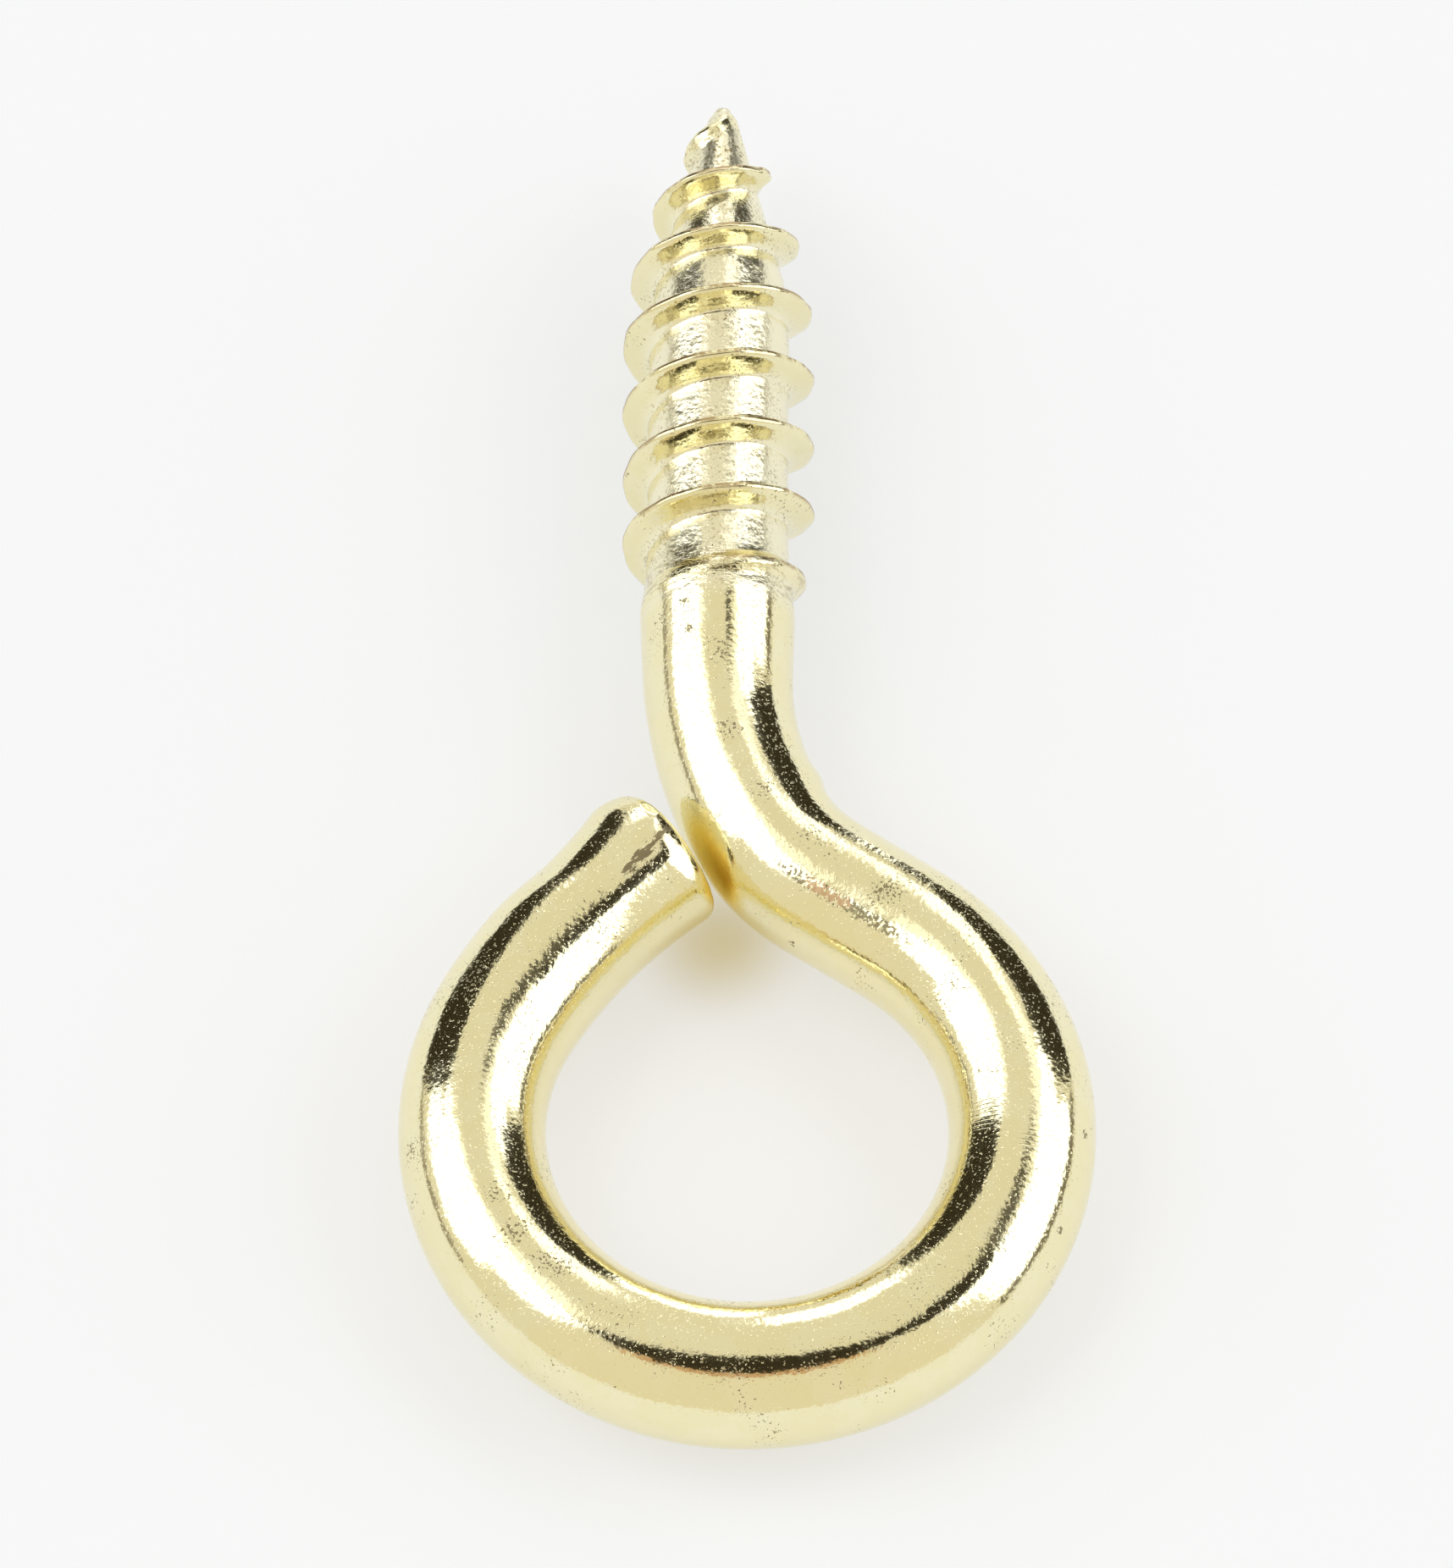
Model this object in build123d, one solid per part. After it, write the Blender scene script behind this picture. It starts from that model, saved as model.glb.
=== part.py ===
from build123d import *
import os
from math import atan2, ceil, cos, degrees, radians, sin

# Wire and eye: drawn steel wire, bent cold round a pin and cut off just short of its own neck.
# Angles round the eye are in degrees from +X.
wire_dia = 3.43
eye_bore = 9.31
eye_leave_angle = 56
eye_open_angle = 150
eye_gap = 0.3
cut_end_radius = 13.8
cut_end_bevel = 0.25

# Neck: the double bend that brings the wire from the side of the eye onto the line of the screw
neck_run = 2.28
neck_tight_radius = 4.08
neck_tight_angle = 28
neck_easy_radius = 8.84
shank_length = 1.5

# Screw core: rolling presses the root a little below the wire, down to a gimlet point
screw_length = 13.54
root_depth = 0.085
shoulder_length = 0.5
point_length = 4.7
ease_length = 1.5
ease_depth = 0.13
tip_dia = 0.68
tip_flat_dia = 0.3
tip_bevel_length = 0.28

# Thread: one right-hand ridge that rises out of the shank and dies away on the point.
# Its start is an angle round the screw from +Z, and its foot is sunk below the root.
pitch = 1.78
ridge_height = 0.6
ridge_width = 0.65
crest_width = 0.14
ridge_sink = 0.2
thread_start_angle = 258
runout_turns = 1.1
growth_length = 2.2
bare_tip_length = 0.35
thin_end_share = 0.3
sections_per_turn = 12

wire_radius = wire_dia / 2
eye_radius = (eye_bore + wire_dia) / 2
root_radius = wire_radius - root_depth
tip_radius = tip_dia / 2
thread_radius = root_radius + ridge_height


def heading(angle):
    """Unit vector in the plane of the eye."""
    return Vector(cos(radians(angle)), sin(radians(angle)))


def wire_section(line, place, inset=0):
    """The wire's round section, square to a line at a share of its length."""
    return Plane(line @ place, z_dir=line % place) * Circle(wire_radius - inset)


# Centreline of eye, neck and shank, with the eye's centre at the origin and the screw along +Y
eye_start = heading(eye_open_angle) * eye_radius
eye_turn = 360 - eye_open_angle + eye_leave_angle
eye_line = JernArc(eye_start, heading(eye_open_angle + 90), eye_radius, eye_turn)
neck_line = Line(eye_line @ 1, eye_line @ 1 + (eye_line % 1) * neck_run)
tight_bend = JernArc(neck_line @ 1, neck_line % 1, neck_tight_radius, -neck_tight_angle)
easy_bend = JernArc(tight_bend @ 1, tight_bend % 1, neck_easy_radius, neck_tight_angle - eye_leave_angle)
shank_line = Line(easy_bend @ 1, easy_bend @ 1 + (easy_bend % 1) * shank_length)
neck_path = Wire([neck_line, tight_bend, easy_bend, shank_line])
wire = sweep(wire_section(eye_line, 0), path=Wire([eye_line, neck_line, tight_bend, easy_bend, shank_line]))


# The cut end carries the eye on in an easier curve, until its face stands one gap from the neck
def cut_end_line(length):
    """Centreline of the cut end, from the eye's start."""
    turn = degrees(length / cut_end_radius)
    return JernArc(eye_start, heading(eye_open_angle - 90), cut_end_radius, -turn)


cut_end_length = wire_dia
gap_trials = 12
for trial in range(gap_trials):
    cut_face = wire_section(cut_end_line(cut_end_length), 1)
    cut_end_length += cut_face.distance_to(neck_path) - wire_radius - eye_gap

cut_line = cut_end_line(cut_end_length)
plain_line = cut_end_line(cut_end_length - cut_end_bevel)
cut_end = sweep(wire_section(plain_line, 0), path=plain_line)
cut_end += loft([wire_section(plain_line, 1), wire_section(cut_line, 1, cut_end_bevel)], ruled=True)

# Core of the screw, turned about the line of the shank: shoulder, root, easing, cone and blunt tip
screw_x = (shank_line @ 1).X
screw_y = (shank_line @ 1).Y
tip_y = screw_y + screw_length
cone_y = tip_y - point_length
cone_radius = root_radius - ease_depth
ease_slope = ease_depth / ease_length
cone_slope = (cone_radius - tip_radius) / (point_length - tip_bevel_length)

core_half = make_face(
    Polyline(
        (screw_x, screw_y),
        (screw_x + wire_radius, screw_y),
        (screw_x + root_radius, screw_y + shoulder_length),
        (screw_x + root_radius, cone_y - ease_length),
        (screw_x + cone_radius, cone_y),
        (screw_x + tip_radius, tip_y - tip_bevel_length),
        (screw_x + tip_flat_dia / 2, tip_y),
        (screw_x, tip_y),
        close=True,
    )
)
core = revolve(core_half, Axis((screw_x, 0, 0), (0, 1, 0)))


# Ridge of the thread: a trapezium carried round the core, lower and thinner towards both ends
def ridge_section(turn):
    """Section in the plane through the screw's axis, so many turns from the ridge's start."""
    y = screw_y + turn * pitch
    past = y - cone_y
    rise = min(1, turn / runout_turns)
    fall = min(1, (tip_y - bare_tip_length - y) / growth_length)
    core_radius = min(root_radius, cone_radius - past * ease_slope, cone_radius - past * cone_slope)
    foot = core_radius - ridge_sink
    crest = core_radius + ridge_height * rise * fall
    flank_slope = (ridge_width - crest_width) / 2 / ridge_height
    width_share = thin_end_share + (1 - thin_end_share) * fall
    half_foot = width_share * (ridge_width / 2 + ridge_sink * flank_slope)
    half_crest = width_share * crest_width / 2
    corners = [(foot, -half_foot), (crest, -half_crest), (crest, half_crest), (foot, half_foot)]
    angle = radians(thread_start_angle + 360 * turn)
    points = [(screw_x + r * sin(angle), y + along, r * cos(angle)) for r, along in corners]
    return Face(Wire.make_polygon(points, close=True))


# The ridge is lofted a turn at a time and joined with the core, the wire and its cut end as one solid
ridge_turns = (screw_length - bare_tip_length) / pitch
screw_eye = wire + cut_end + core
for first in range(ceil(ridge_turns)):
    length = min(1, ridge_turns - first)
    steps = ceil(length * sections_per_turn)
    screw_eye += loft([ridge_section(first + length * i / steps) for i in range(steps + 1)])

# Laid down, it rests on the eye's far side and on the first full crest under the screw
turns_to_floor = (180 - thread_start_angle) % 360 / 360
contact_turn = turns_to_floor + ceil(max(0, runout_turns - turns_to_floor))
contact_y = screw_y + contact_turn * pitch
lean = degrees(atan2(thread_radius - wire_radius, contact_y + eye_radius))
screw_eye = Rot(X=lean) * screw_eye
box = screw_eye.bounding_box()
screw_eye = Pos(-box.center().X, -box.center().Y, -box.min.Z) * screw_eye

os.makedirs("parts", exist_ok=True)
export_step(screw_eye, "parts/screw_eye.step")
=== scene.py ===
import bmesh
import bpy
import numpy as np
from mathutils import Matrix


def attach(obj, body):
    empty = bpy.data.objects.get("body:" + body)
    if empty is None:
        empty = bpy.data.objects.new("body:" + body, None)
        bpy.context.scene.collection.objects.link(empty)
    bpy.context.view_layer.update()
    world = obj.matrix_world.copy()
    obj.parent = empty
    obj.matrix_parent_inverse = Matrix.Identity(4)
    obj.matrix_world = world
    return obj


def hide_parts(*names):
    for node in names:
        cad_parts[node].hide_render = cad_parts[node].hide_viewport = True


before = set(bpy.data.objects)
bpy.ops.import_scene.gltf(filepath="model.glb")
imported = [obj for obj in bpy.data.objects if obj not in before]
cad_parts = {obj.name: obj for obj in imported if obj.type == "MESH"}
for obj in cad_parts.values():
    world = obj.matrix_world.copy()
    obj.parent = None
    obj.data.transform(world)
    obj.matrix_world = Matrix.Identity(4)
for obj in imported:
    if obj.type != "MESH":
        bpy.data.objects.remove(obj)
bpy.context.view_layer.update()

# Wire: one length of drawn steel wire, bent cold round a pin to an eye, led back by a double bend onto the
# line of the screw, and sheared off beside its own neck. It is worked out flat, with the eye's centre at the
# origin.
mm = 1e-3
wire_radius = 1.715 * mm
eye_radius, tight_radius, easy_radius = 6.37 * mm, 4.08 * mm, 8.84 * mm
eye_turn, neck_turn = np.radians(266), np.radians(28)
cut_end_length, cut_end_radius = 5.695 * mm, 13.8 * mm
neck_length, shank_length = 2.28 * mm, 1.5 * mm
screw_x, screw_y = -0.6838 * mm, 13.6731 * mm

# Runs from the cut face to the screw: cut end, eye, neck, tight bend, easy bend and shank. A bend to the left
# is positive.
eye_length = eye_turn * eye_radius
tight_length, easy_length = neck_turn * tight_radius, neck_turn * easy_radius
run_length = np.array([cut_end_length, eye_length, neck_length, tight_length, easy_length, shank_length])
run_radius = np.array([cut_end_radius, eye_radius, np.inf, -tight_radius, -easy_radius, np.inf])
run_ends = np.concatenate([[0], np.cumsum(run_length)])
turned = np.concatenate([[0], np.cumsum(run_length / run_radius)])
wire_length = run_ends[-1]

# Columns of the mesh run along the wire. Their angle goes round it, from the top towards the eye's outside.
columns = 144
around = np.arange(columns) * 2 * np.pi / columns
side, up = np.sin(around), np.cos(around)
spread = np.linspace(-1, 1, 9)  # places across a reach, over which a corner is averaged


def eased(values, ends, places, reach):
    """Straight lines between known values, averaged over a short reach each way to round their corners."""
    return np.interp(places[..., None] + reach * spread, ends, values).mean(-1)


def wire_heading(length):
    """Heading at a length from the cut face: all the turns made so far, set to end along the screw."""
    return np.pi / 2 - turned[-1] + eased(turned, run_ends, length, 0.45 * mm)


def centreline(length):
    """Centre of the wire: the integral of its heading, set to end where the screw begins."""
    fine = np.linspace(0, wire_length, 6001)
    step = np.stack([np.cos(wire_heading(fine)), np.sin(wire_heading(fine))])
    path = np.cumsum((step[:, 1:] + step[:, :-1]) / 2 * fine[1], axis=1)
    path = np.concatenate([np.zeros((2, 1)), path], axis=1)
    x = np.interp(length, fine, path[0] - path[0, -1] + screw_x)
    y = np.interp(length, fine, path[1] - path[1, -1] + screw_y)
    return x, y


def hump(values, middle, reach):
    """Smooth hump of height 1 at the middle: e to minus the square of the distance in reaches."""
    return np.exp(-(((values - middle) / reach) ** 2))


def turn_from(middle):
    """Angle round the wire from a middle, both in degrees, taken the short way round."""
    return np.degrees((around - np.radians(middle) + np.pi) % (2 * np.pi) - np.pi)


def shank_swell(length):
    """Metal pushed back by rolling: a trapezium that rises on the shank and falls in the first turn."""
    ends = np.array([42.6, 45.0, 45.6, 47.5]) * mm
    return eased(np.array([0, 0.08, 0.08, 0]) * mm, ends, length, 0.3 * mm)


# The sheared face is eased at its rim by quarter ellipses: short ones, and long ones on the eye's inside.
# Rings of the mesh stand on the face, round the rim, behind it, and then evenly until they meet the screw's.
inner = hump(turn_from(-30), 0, 45)
rim_depth = (0.22 + 0.25 * inner) * mm
rim_length = (0.28 + 0.47 * inner) * mm
rim_end, even_start, meeting = 1.3 * mm, 1.4 * mm, 0.45 * mm
face_share = np.array([0, 0.35, 0.65, 0.85])[:, None]
rim_angle = np.linspace(0, np.pi / 2, 16)[:, None]
onward = np.linspace(0.1, 1, 10)[:, None]
even = np.linspace(even_start, wire_length - meeting, 228)
length = np.concatenate(
    [
        np.zeros((face_share.size, columns)),
        rim_length * (1 - np.cos(rim_angle)),
        rim_length + (rim_end - rim_length) * onward,
        np.repeat(even[:, None], columns, axis=1),
    ]
)
radius = np.concatenate(
    [
        (wire_radius - rim_depth) * face_share,
        wire_radius - rim_depth * (1 - np.sin(rim_angle)),
        np.full((onward.size + even.size, columns), wire_radius),
    ]
)

# Shearing left the face a little askew, pushed up a lip, pinched the wire behind it and pressed a flat on
# top. Bending raised a fold in the neck.
askew = 0.07 * np.cos(around + np.radians(75))
length = length - askew * radius * np.clip(1 - length / (1.1 * mm), 0, 1)
lip = 0.15 * mm * hump(length, 0.75 * mm, 0.5 * mm) * hump(turn_from(60), 15, 40)
pinched = 0.13 * mm * hump(length, 2.5 * mm, 0.9 * mm) * hump(turn_from(60), 0, 45)
neck_fold = 0.08 * mm * hump(length, 40.1 * mm, 0.4 * mm) * hump(turn_from(85), 0, 30)
near_skin = np.clip(radius / wire_radius, 0, 1) ** 4
radius = radius + shank_swell(length) + (lip - pinched + neck_fold) * near_skin
flat = (1.55 * mm + 0.5 * length) / np.clip(np.cos(around - np.radians(18)), 0.2, 1)
radius = np.minimum(radius, flat)

x, y = centreline(length)
heading = wire_heading(length)
across = radius * side
wire_points = np.stack([x + across * np.sin(heading), y - across * np.cos(heading), radius * up], axis=-1)
wire_straight = np.stack([across, length, radius * up], axis=-1)

# Screw: the end of the same wire, rolled between dies into a coarse right-hand ridge on a root a little
# thinner than the wire, with a gimlet point. The rings of its mesh follow the ridge round, so that its crest
# and flanks stay clean.
pitch = 1.78 * mm
screw_length = 13.54 * mm
tip_y = screw_y + screw_length
thread_start = np.radians(258)
ridge_height, ridge_width, crest_width = 0.6 * mm, 0.65 * mm, 0.14 * mm
bare_tip, fall_length, tip_bend = 0.35 * mm, 1.4 * mm, 0.12 * mm
core_y = screw_y + np.array([-1, 0, 0.9, 7.34, 8.84, 13.26, 13.54]) * mm
core_radius = np.array([1.715, 1.715, 1.63, 1.63, 1.5, 0.34, 0.15]) * mm

# Rings stand close together at the crest and at the feet of the ridge. Past either end, they close up.
step_out = np.array([0.035, 0.07, 0.105, 0.15, 0.2, 0.26, 0.315, 0.36, 0.42, 0.5, 0.62, 0.76]) * mm
ring_offset = np.concatenate([-step_out[::-1], [0], step_out, [pitch / 2]])[None, :, None]
rings_per_turn = ring_offset.size
turn = np.arange(-1, 10)[:, None, None] + (around - thread_start) / (2 * np.pi)
ridge_y = screw_y + pitch * turn
ring_y = np.clip(ridge_y + ring_offset, screw_y - meeting, tip_y)


def ridge_share(offset, half_foot, half_crest, reach):
    """Share of the ridge's height at an offset from its crest: a trapezium, averaged to round its corners."""
    inside = np.abs(offset[..., None] + reach[..., None] * spread)
    slope = (half_foot[..., None] - inside) / (half_foot - half_crest)[..., None]
    return np.clip(slope, 0, 1).mean(-1)


# The ridge rises out of the shank in a turn, and sinks and thins on the point. Its crest is a little uneven,
# with a fine fold along it. Near the point it flares to a burr and is torn short, and its last turn is worn.
rise = np.interp(turn, [0, 0.25, 0.55, 1.1], [0, 0.12, 0.68, 1])
fall = np.clip((tip_y - bare_tip - ridge_y) / fall_length, 0, 1)
thin = 0.3 + 0.7 * fall
uneven = 1 + 0.025 * np.sin(17.3 * turn + 1) + 0.02 * np.sin(41.7 * turn) + 0.015 * np.sin(89.1 * turn + 2)
worn = np.clip((turn - 6.55) / 0.3, 0, 1)
burr = hump(turn, 6.44, 0.04)
torn = np.interp(turn, [6.3, 6.42, 6.46, 6.5, 6.6, 6.8], [1, 0.93, 0.85, 0.35, 0.35, 1.4])
half_foot = thin * ridge_width / 2 + (0.12 * worn + 0.06 * burr) * mm
half_crest = thin * crest_width / 2 + 0.07 * burr * mm
share = ridge_share(ring_y - ridge_y, half_foot, half_crest, (0.045 + 0.13 * worn) * mm)
crest_fold = 0.012 * mm * hump(ring_y, ridge_y, 0.03 * mm)
past_shank = ring_y - screw_y
core = eased(core_radius, core_y, ring_y, 0.08 * mm) + shank_swell(wire_length + past_shank)
ring_radius = core + rise * fall * (ridge_height * uneven * torn * share - crest_fold)
bend = tip_bend * np.clip(past_shank / screw_length, 0, 1) ** 2
across = ring_radius * side
screw_points = np.stack([screw_x + bend + across, ring_y, ring_radius * up], axis=-1)
screw_straight = np.stack([across, wire_length + past_shank, ring_radius * up], axis=-1)
screw_root = np.clip((past_shank + 0.4 * mm) / (0.5 * mm), 0, 1) * np.clip(1 - 2.5 * share, 0, 1)
# A painted shade line along the upper edge of each crest, on the side towards the point
crest_shade_line = hump(ring_y, ridge_y + 0.05 * mm, 0.07 * mm)
painted_crest_shade = crest_shade_line * np.clip(3 * rise * fall, 0, 1) * (1 - worn)


def ring_faces(first, rings, climb):
    """Faces between neighbouring rings, whose points are counted on from the first.

    Past its last column, a ring goes on as the ring that is `climb` rings further."""
    ring, column = np.meshgrid(np.arange(rings - 1), np.arange(columns), indexing="ij")
    onward = np.where(column == columns - 1, ring + climb, ring)
    near = first + ring * columns + column
    far = first + onward * columns + (column + 1) % columns
    faces = np.stack([near, far, far + columns, near + columns], axis=-1)
    return faces[onward < rings - 1]


# The two grids meet on the shank, and a cap closes the point. Lying down, the screw leans up from the eye.
tip, tip_straight = [[screw_x + tip_bend, tip_y, 0]], [[0, wire_length + screw_length, 0]]
points = np.concatenate([wire_points.reshape(-1, 3), screw_points.reshape(-1, 3), tip])
straight = np.concatenate([wire_straight.reshape(-1, 3), screw_straight.reshape(-1, 3), tip_straight])
root = np.concatenate([np.zeros(length.size), screw_root.ravel(), [1]])
crest = np.concatenate([np.zeros(length.size), painted_crest_shade.ravel(), [0]])
wire_rings, screw_rings = length.size // columns, ring_y.size // columns
wire_sides = ring_faces(0, wire_rings, 0)
screw_sides = ring_faces(wire_rings * columns, screw_rings, rings_per_turn)
last_ring = (wire_rings + screw_rings - 1) * columns + np.arange(columns)
cap = np.stack([last_ring, np.roll(last_ring, -1), np.full(columns, len(points) - 1)], axis=-1)

lean = np.radians(1.2707)
eye_y, eye_height = -9.5631 * mm, 1.8574 * mm
laid = np.stack(
    [
        points[:, 0],
        points[:, 1] * np.cos(lean) - points[:, 2] * np.sin(lean) + eye_y,
        points[:, 1] * np.sin(lean) + points[:, 2] * np.cos(lean) + eye_height,
    ],
    axis=-1,
)

# Points that fall together are joined: in the middle of the sheared face, and where rings close up or meet
mesh = bpy.data.meshes.new("screw_eye_wire")
mesh.from_pydata(laid.tolist(), [], wire_sides.tolist() + screw_sides.tolist() + cap.tolist())
mesh.attributes.new("straight", "FLOAT_VECTOR", "POINT").data.foreach_set("vector", straight.ravel())
mesh.attributes.new("root", "FLOAT", "POINT").data.foreach_set("value", root)
mesh.attributes.new("crest", "FLOAT", "POINT").data.foreach_set("value", crest)
skin = bmesh.new()
skin.from_mesh(mesh)
bmesh.ops.remove_doubles(skin, verts=skin.verts, dist=0.0002 * mm)
bmesh.ops.recalc_face_normals(skin, faces=skin.faces)
skin.to_mesh(mesh)
skin.free()
mesh.polygons.foreach_set("use_smooth", np.ones(len(mesh.polygons), dtype=bool))
screw_eye = bpy.data.objects.new("screw_eye_wire", mesh)
bpy.context.scene.collection.objects.link(screw_eye)


# Plating: bright brass a few microns thick over the steel, laid on in a barrel after forming. It has a fine
# peel, is rough and frosted in the rolled roots, and is scuffed, pinholed and thin in places.
class Tone:
    """A value in a shader. Sums and products of tones add Math nodes, and `node` adds any other kind."""

    def __init__(self, tree, socket=None):
        self.tree, self.socket = tree, socket

    def node(self, kind, settings, inputs, output=0):
        """Adds a node with its settings, fills its sockets with values or tones, and gives one output."""
        made = self.tree.nodes.new(kind)
        for name, value in settings.items():
            setattr(made, name, value)
        for name, value in inputs.items():
            if isinstance(value, Tone):
                self.tree.links.new(value.socket, made.inputs[name])
            else:
                made.inputs[name].default_value = value
        return Tone(self.tree, made.outputs[output])

    def maths(self, operation, first, second):
        """One Math node between two values or tones."""
        return self.node("ShaderNodeMath", {"operation": operation}, {0: first, 1: second})

    def __add__(self, other):
        return self.maths("ADD", self, other)

    def __sub__(self, other):
        return self.maths("SUBTRACT", self, other)

    def __rsub__(self, other):
        return self.maths("SUBTRACT", other, self)

    def __mul__(self, other):
        return self.maths("MULTIPLY", self, other)

    __radd__ = __add__
    __rmul__ = __mul__


def ramp(tone, low, high):
    """0 below low, 1 above high, and a smooth S between them."""
    settings = {"interpolation_type": "SMOOTHSTEP"}
    return tone.node("ShaderNodeMapRange", settings, {"Value": tone, "From Min": low, "From Max": high})


def mixed(factor, first, second):
    """Colour that goes from the first to the second with the factor."""
    return factor.node("ShaderNodeMix", {"data_type": "RGBA"}, {0: factor, 6: first, 7: second}, 2)


def grain(place, size, detail=2, rough=0.5):
    """Soft noise from 0 to 1 whose lumps are about as wide as the size."""
    inputs = {"Vector": place, "Scale": 1 / size, "Detail": detail, "Roughness": rough}
    return place.node("ShaderNodeTexNoise", {}, inputs)


def drawn_out(place, scale):
    """Coordinates whose second axis, which runs along the wire, is multiplied by a scale."""
    return place.node("ShaderNodeVectorMath", {"operation": "MULTIPLY"}, {0: place, 1: (1, scale, 1)})


def patch(place, middle, reach):
    """1 at a middle, falling smoothly to 0 at a reach from it, both in millimetres."""
    middle = [value * mm for value in middle]
    apart = place.node("ShaderNodeVectorMath", {"operation": "DISTANCE"}, {0: place, 1: middle}, "Value")
    return 1 - ramp(apart, 0, reach * mm)


def patches(place, middles, reach):
    """Patches of one reach round several middles, added up."""
    return sum(patch(place, middle, reach) for middle in middles)


brass = bpy.data.materials.new("brass_plate")
brass.use_nodes = True
plating = Tone(brass.node_tree)
shader = brass.node_tree.nodes["Principled BSDF"]
place = plating.node("ShaderNodeTexCoord", {}, {}, "Object")
along = plating.node("ShaderNodeAttribute", {"attribute_name": "straight"}, {}, "Vector")
roots = plating.node("ShaderNodeAttribute", {"attribute_name": "root"}, {}, "Fac")
crest_shade = plating.node("ShaderNodeAttribute", {"attribute_name": "crest"}, {}, "Fac")
from_cut = plating.node("ShaderNodeSeparateXYZ", {}, {0: along}, "Y")

peel = grain(place, 0.12 * mm, 1, 0.4)
pimples = ramp(grain(place, 0.07 * mm, 1), 0.62, 0.74)
waves = grain(place, 0.9 * mm, 1)
lumps = grain(place, 0.24 * mm, 1, 0.4)
grit = grain(place, 0.09 * mm, 2)
stains = ramp(grain(place, 1.1 * mm, 4, 0.65), 0.47, 0.57)

# Pinholes stand in loose clusters all over, and thickly where the wire has been handled or chipped
handled_eye = [(-5.77, -12.08, 3.51), (-5.32, -13.01, 3.49), (-4.71, -13.9, 3.48), (-4.2, -14.1, 3.45)]
handled_side = [(-7.78, -10.56, 2.73)]
handled_neck = [(-0.43, 0.17, 3.79), (3.2, -4.1, 3.69), (0.38, -1.43, 3.75), (1.44, -2.63, 3.72)]
handled_shank = [(-0.55, 2.19, 3.83)]
chipped_eye = [(7.82, -10.11, 2.73), (7.24, -12.62, 2.65)]
chipped_neck = [(1.02, -4.63, 2.15)]
chipped_shank = [(-1.43, 3.64, 3.69), (-1.35, 2.88, 3.71)]
worn_spots = patches(place, handled_eye + handled_side + handled_neck + handled_shank, 0.6)
worn_spots = worn_spots + 1.8 * patches(place, chipped_eye + chipped_neck + chipped_shank, 0.2)
clusters = 0.7 * ramp(grain(place, 1.5 * mm, 2), 0.52, 0.68)
pits = ramp(grain(place, 0.075 * mm, 2, 0.6) + 0.08 * clusters + 0.15 * worn_spots, 0.67, 0.72)
pits = pits * ramp(clusters + worn_spots, 0.1, 0.5)

# The plating flakes in the roots and on the point, and the dies tore ragged lines where the ridge starts
point = ramp(from_cut, wire_length + 10.8 * mm, wire_length + 12.4 * mm)
flaked = (roots * ramp(waves, 0.4, 0.55) + point) * ramp(grit, 0.56, 0.66)
collar = ramp(from_cut, wire_length - 0.1 * mm, wire_length + 0.2 * mm)
collar = collar * (1 - ramp(from_cut, wire_length + 0.7 * mm, wire_length + 1.3 * mm))
ragged = grain(drawn_out(along, 3.5), 0.36 * mm, 3, 0.6)
rolled_lines = collar * ramp(ragged, 0.5, 0.62)

# The cut end is scuffed and its face sheared. Bending left a pinch with a coppery streak on the neck, and
# lines of the tool in the eye. A painted amber reflection of the brass lies in the gap.
scuff_places = [(-0.12, 0.14, 1.62), (-0.26, 0.37, 1.68), (-0.37, 0.6, 1.67)]
pinch_place, streak_place = (-0.77, 3.63, 1.53), (-0.74, 11.04, 1.55)
tool_start, tool_end, tool_spacing = (5.45, -9.87, 3.3), (6.52, -10.69, 3.53), 0.13 * mm
gap_reflection_places = [(-1.1, -2.1, 2.7), (-0.75, -2.8, 2.5), (-0.45, -3.35, 2.2)]
torn_edge = grain(drawn_out(along, 0.3), 0.12 * mm, 3, 0.65)
scuff = ramp(patches(drawn_out(along, 0.4), scuff_places, 0.27) + 2.4 * torn_edge, 1.85, 2.0)
sheared = 1 - ramp(from_cut, 0.02 * mm, 0.16 * mm)
pinch = patch(drawn_out(along, 0.1), pinch_place, 0.26)
pinch_grain = ramp(pinch, 0.02, 0.3) * ramp(0.18 * pinch + grain(place, 0.08 * mm, 2), 0.55, 0.62)
coppery = ramp(patch(drawn_out(along, 0.3), streak_place, 0.3) + 0.8 * grit, 0.6, 0.85)
marked = patch(place, tool_start, 0.6) + 0.6 * patch(place, tool_end, 0.4)
tool_wave = plating.maths("SINE", from_cut * (2 * np.pi / tool_spacing), 0)
tool_lines = ramp(marked, 0.05, 0.5) * ramp(tool_wave, 0.5, 0.95)
# Painted amber reflection of the brass, round places in the gap
painted_gap_reflection = ramp(patches(place, gap_reflection_places, 0.9), 0, 1)

bright_brass, deep_brass = (0.925, 0.86, 0.555, 1), (0.905, 0.835, 0.52, 1)
pale_brass, frosted_brass, painted_reflection_amber = (0.95, 0.905, 0.68, 1), (0.965, 0.925, 0.73, 1), (0.95, 0.7, 0.1, 1)
pinhole_brown, flake_brown, crest_shade_brown = (0.22, 0.175, 0.085, 1), (0.42, 0.32, 0.14, 1), (0.42, 0.28, 0.13, 1)
scuff_brown, pinch_brown, tool_brown = (0.19, 0.145, 0.07, 1), (0.16, 0.125, 0.055, 1), (0.35, 0.28, 0.14, 1)
copper = (0.5, 0.29, 0.14, 1)
tone = mixed(waves, bright_brass, deep_brass)
tone = mixed(0.25 * stains, tone, pale_brass)
tone = mixed(0.6 * roots, tone, frosted_brass)
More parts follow.
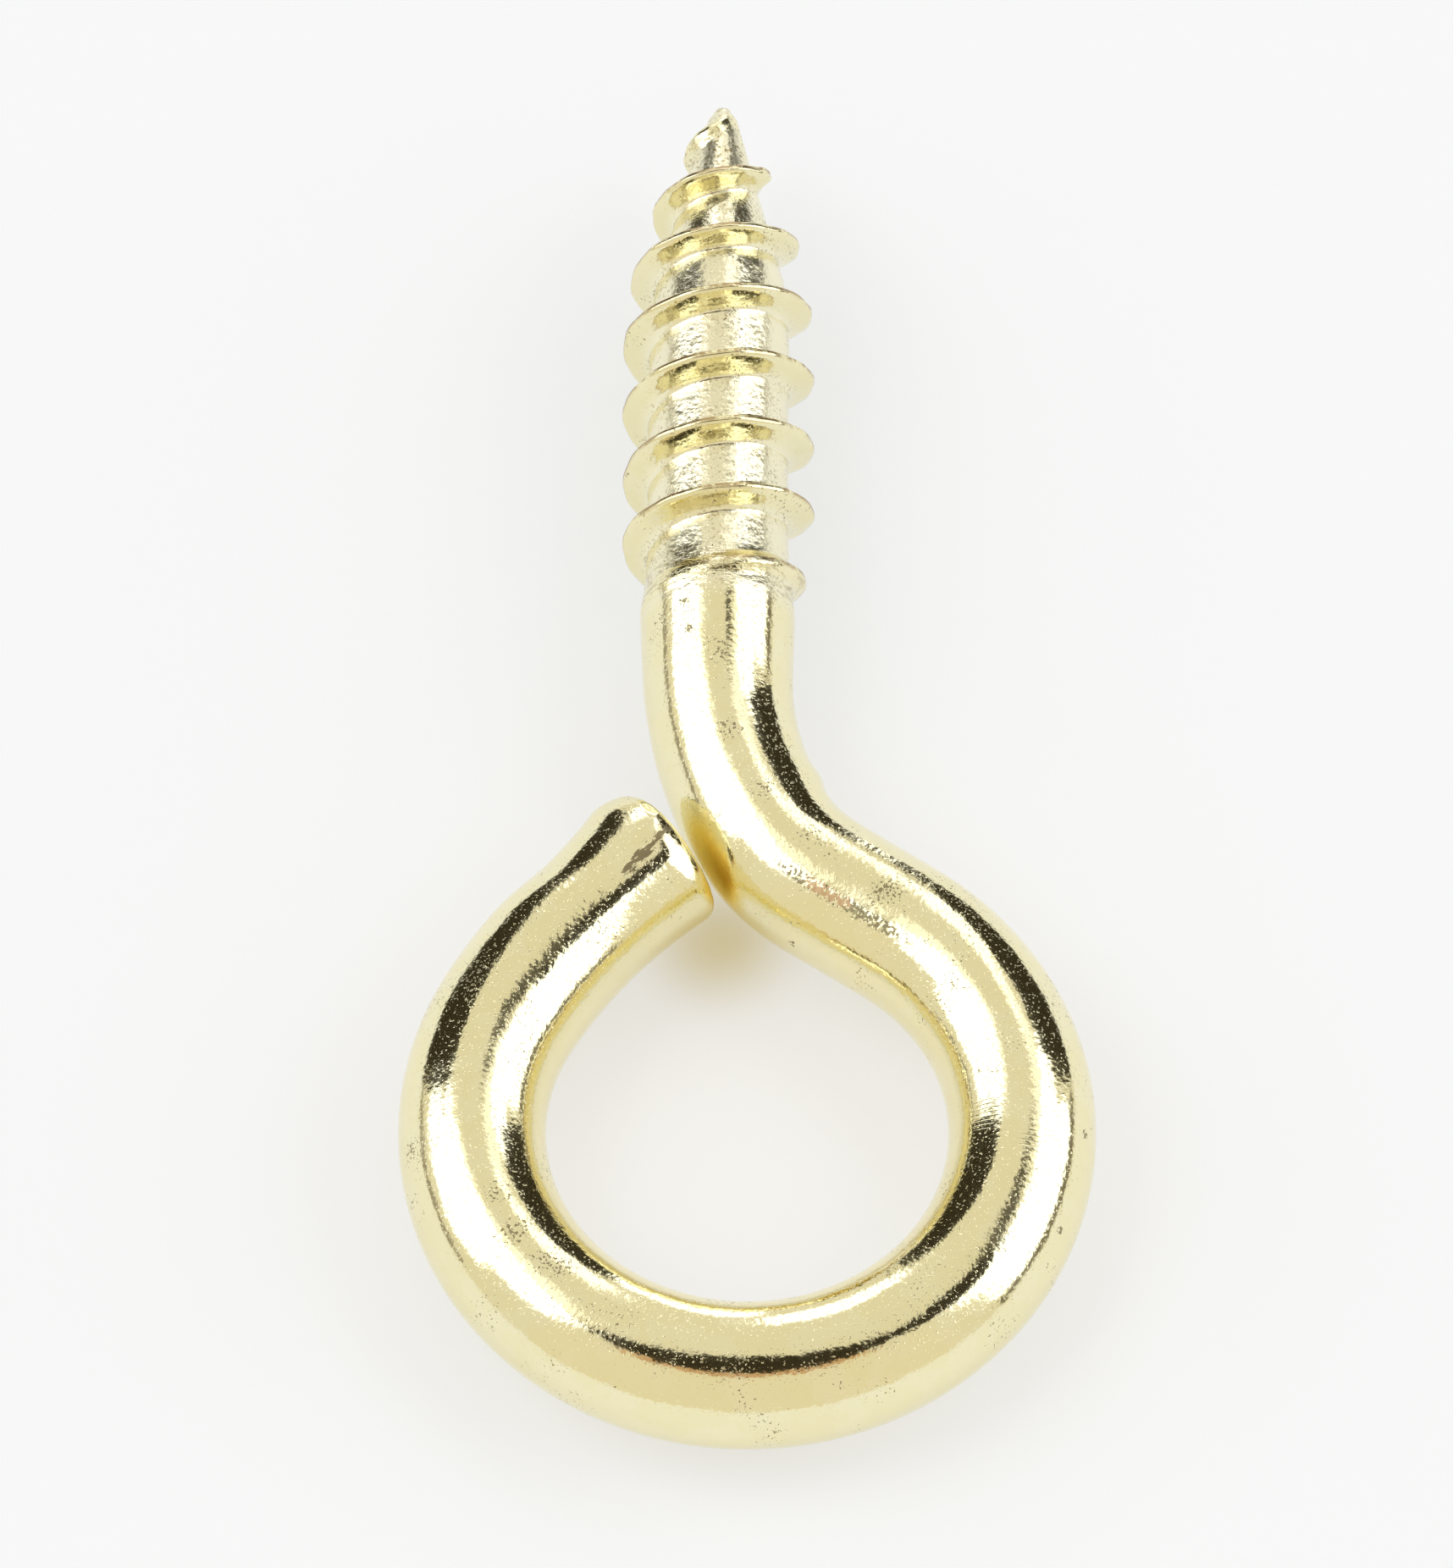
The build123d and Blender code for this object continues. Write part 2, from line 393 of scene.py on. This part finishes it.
# Painted amber reflection in the gap
tone = mixed(0.8 * painted_gap_reflection, tone, painted_reflection_amber)
tone = mixed(0.85 * pits, tone, pinhole_brown)
tone = mixed(0.5 * flaked + 0.4 * rolled_lines, tone, flake_brown)
tone = mixed(0.85 * scuff, tone, scuff_brown)
tone = mixed(0.8 * pinch_grain, tone, mixed(coppery, pinch_brown, copper))
tone = mixed(0.5 * tool_lines, tone, tool_brown)
# Painted shade line along the crests' upper edges
tone = mixed(crest_shade * ramp(peel + waves, 0.8, 1.1), tone, crest_shade_brown)

# Heights are in micrometres
micrometre = 1e-6
height = 4 * peel + 2.6 * pimples + 14 * waves - 3 * pits - 3 * tool_lines
height = height + roots * (11 * lumps + 7 * grit) + point * (8 * lumps + 6 * grit)
height = height + 26 * collar * ragged + 8 * sheared * torn_edge
normal = plating.node("ShaderNodeBump", {}, {"Height": height, "Distance": micrometre, "Strength": 1})
gloss = 0.075 + 0.04 * peel + 0.02 * stains + 0.12 * roots + 0.2 * crest_shade + 0.1 * point
gloss = gloss + 0.25 * pits + 0.3 * scuff + 0.2 * pinch_grain + 0.3 * sheared + 0.25 * painted_gap_reflection
for name, value in {"Base Color": tone, "Roughness": gloss, "Normal": normal}.items():
    brass.node_tree.links.new(value.socket, shader.inputs[name])
shader.inputs["Metallic"].default_value = 1
mesh.materials.append(brass)
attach(screw_eye, "root")
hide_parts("screw_eye")

# Floor: a sheet of plain white paper, laid flat, with painted warm bounce light from the brass round the eye,
# a painted warm shadow under the neck and painted golden reflected light under the gap. Seen by the camera
# and in the metal it is lifted to near white, and it keeps the shadow.
half_sheet = 3
corners = [(-half_sheet, -half_sheet, 0), (half_sheet, -half_sheet, 0)]
corners += [(half_sheet, half_sheet, 0), (-half_sheet, half_sheet, 0)]
floor_mesh = bpy.data.meshes.new("floor")
floor_mesh.from_pydata(corners, [], [(0, 1, 2, 3)])
floor = bpy.data.objects.new("floor", floor_mesh)
bpy.context.scene.collection.objects.link(floor)
cool_white, painted_bounce_white = (0.535, 0.547, 0.562, 1), (0.56, 0.553, 0.545, 1)
painted_warm_shadow, painted_gap_light, black = (0.42, 0.36, 0.21, 1), (0.5, 0.37, 0.1, 1), (0, 0, 0, 1)
paper = bpy.data.materials.new("white_paper")
paper.use_nodes = True
sheet = Tone(paper.node_tree)
rays = ["Is Camera Ray", "Is Glossy Ray", "Is Transmission Ray"]
seen = sum(sheet.node("ShaderNodeLightPath", {}, {}, ray) for ray in rays)
on_sheet = sheet.node("ShaderNodeTexCoord", {}, {}, "Object")
# The warm white round the eye is painted bounce light from the brass, the gilt under the neck is a painted
# warm shadow, and the golden under the gap is painted reflected light
round_eye, under_neck, under_gap = (0, -8, 0), (-0.6, -3.4, 0), (-1.25, -1.1, 0)
lift = mixed(patch(on_sheet, round_eye, 16), cool_white, painted_bounce_white)
lift = mixed(patch(on_sheet, under_neck, 2.4), lift, painted_warm_shadow)
lift = mixed(patch(on_sheet, under_gap, 1.1), lift, painted_gap_light)
lift = mixed(seen, black, lift)
paper_shader = paper.node_tree.nodes["Principled BSDF"]
paper_shader.inputs["Base Color"].default_value = (0.42, 0.42, 0.42, 1)
paper_shader.inputs["Roughness"].default_value = 1
paper_shader.inputs["Specular IOR Level"].default_value = 0
paper_shader.inputs["Emission Strength"].default_value = 1
paper.node_tree.links.new(lift.socket, paper_shader.inputs["Emission Color"])
floor_mesh.materials.append(paper)

# Studio: a warm pale tent with a soft box at each side, a strip light behind, and dark openings between its
# walls and over the camera. Its panels are sheets bowed round the object, each a little nearer than the last.
tent_radius, panel_step, lowest_edge = 5, 0.02, -15
white, pale, dark = (1.9, 1.95, 2.05), (1.25, 1.23, 1.15), (0.036, 0.03, 0.018)

# Each panel has a middle bearing, in degrees from +Y towards +X, a middle elevation, half its width and
# height, the power that squares its corners, and its light
panels = [
    ("camera_wall", 180, 20, 58, 40, 6, (0.83, 0.775, 0.63)),
    ("camera_opening", 180, 82, 70, 21, 6, dark),
    ("opening_edge", 180, 60, 46, 3, 6, (0.62, 0.4, 0.24)),
    ("right_card", 38, 51, 24, 6, 4, pale),
    ("back_card", 20, 40, 6.5, 14, 4, (1.75, 1.75, 1.75)),
    ("left_card", -68, 62, 30, 12, 4, pale),
    ("left_box_top", -80, 53, 36, 14, 4, white),
    ("left_box", -76, 34, 22, 18, 4, white),
    ("right_box", 84, 33, 26, 23, 6, white),
    ("right_box_wing", 62, 42, 22, 12, 4, white),
    ("strip_light", -10, 27, 9, 11, 4, white),
    ("low_strip_light", 8, 2, 10, 15, 4, white),
    ("left_skirt", -77, 4, 20, 3, 4, (0.35, 0.32, 0.27)),
    ("right_skirt", 84, 6, 26, 4, 4, (0.2, 0.18, 0.14)),
    ("left_opening", -39, 13, 18, 32, 2, dark),
    ("right_opening", 37, 9, 19, 30, 2, dark),
    ("right_slit", 58, 63, 34, 4, 2, (0.1, 0.09, 0.07)),
    ("right_slit_end", 96, 61, 24, 8, 2, dark),
]


def bowed_panel(bearing, elevation, half_width, half_height, power, distance):
    """Points of a rounded box on a sphere: rings of a superellipse in bearing and elevation."""
    out = np.linspace(0, 1, 9)[:, None]
    across, upward = np.cos(around), np.sin(around)
    bearing = np.radians(bearing + half_width * out * np.sign(across) * np.abs(across) ** (2 / power))
    elevation = elevation + half_height * out * np.sign(upward) * np.abs(upward) ** (2 / power)
    elevation = np.radians(np.clip(elevation, lowest_edge, 90))
    level = np.cos(elevation)
    return distance * np.stack([level * np.sin(bearing), level * np.cos(bearing), np.sin(elevation)], axis=-1)


for number, (name, bearing, elevation, half_width, half_height, power, light) in enumerate(panels):
    distance = tent_radius - panel_step * number
    panel_points = bowed_panel(bearing, elevation, half_width, half_height, power, distance)
    panel_faces = ring_faces(0, len(panel_points), 0)
    panel_mesh = bpy.data.meshes.new(name)
    panel_mesh.from_pydata(panel_points.reshape(-1, 3).tolist(), [], panel_faces.tolist())
    glow = bpy.data.materials.new(name)
    glow.use_nodes = True
    glow_shader = glow.node_tree.nodes["Principled BSDF"]
    glow_shader.inputs["Base Color"].default_value = black
    glow_shader.inputs["Specular IOR Level"].default_value = 0
    glow_shader.inputs["Emission Color"].default_value = (*light, 1)
    glow_shader.inputs["Emission Strength"].default_value = 1
    glow.cycles.emission_sampling = "NONE"
    panel_mesh.materials.append(glow)
    panel = bpy.data.objects.new(name, panel_mesh)
    panel.visible_camera = False
    bpy.context.scene.collection.objects.link(panel)

# The walls of the tent, warm to the object and white to the camera
world = bpy.data.worlds.new("tent")
bpy.context.scene.world = world
world.use_nodes = True
world.cycles.sampling_method = "NONE"
tent = Tone(world.node_tree)
camera_ray = tent.node("ShaderNodeLightPath", {}, {}, "Is Camera Ray")
tent_light = mixed(camera_ray, (0.81, 0.77, 0.65, 1), (0.94, 0.94, 0.94, 1))
world.node_tree.links.new(tent_light.socket, world.node_tree.nodes["Background"].inputs["Color"])

# Camera: a long lens on a stand, about 60 degrees above the floor and square to the screw. Its frame is a
# little taller than the screw eye looks from there.
tilt = np.radians(59.73)
camera_distance = 1.5
field_height = 36.42 * mm
sensor_height = 24
aim = np.array([-0.478, -0.316, 2.06]) * mm
camera_data = bpy.data.cameras.new("camera")
camera_data.sensor_fit = "VERTICAL"
camera_data.sensor_height = sensor_height
camera_data.lens = sensor_height * camera_distance / field_height
camera_data.clip_start = 0.01
camera = bpy.data.objects.new("camera", camera_data)
camera.location = aim + camera_distance * np.array([0, -np.cos(tilt), np.sin(tilt)])
camera.rotation_euler = (np.pi / 2 - tilt, 0, 0)
bpy.context.scene.collection.objects.link(camera)
bpy.context.scene.camera = camera
bpy.context.scene.view_settings.view_transform = "Standard"
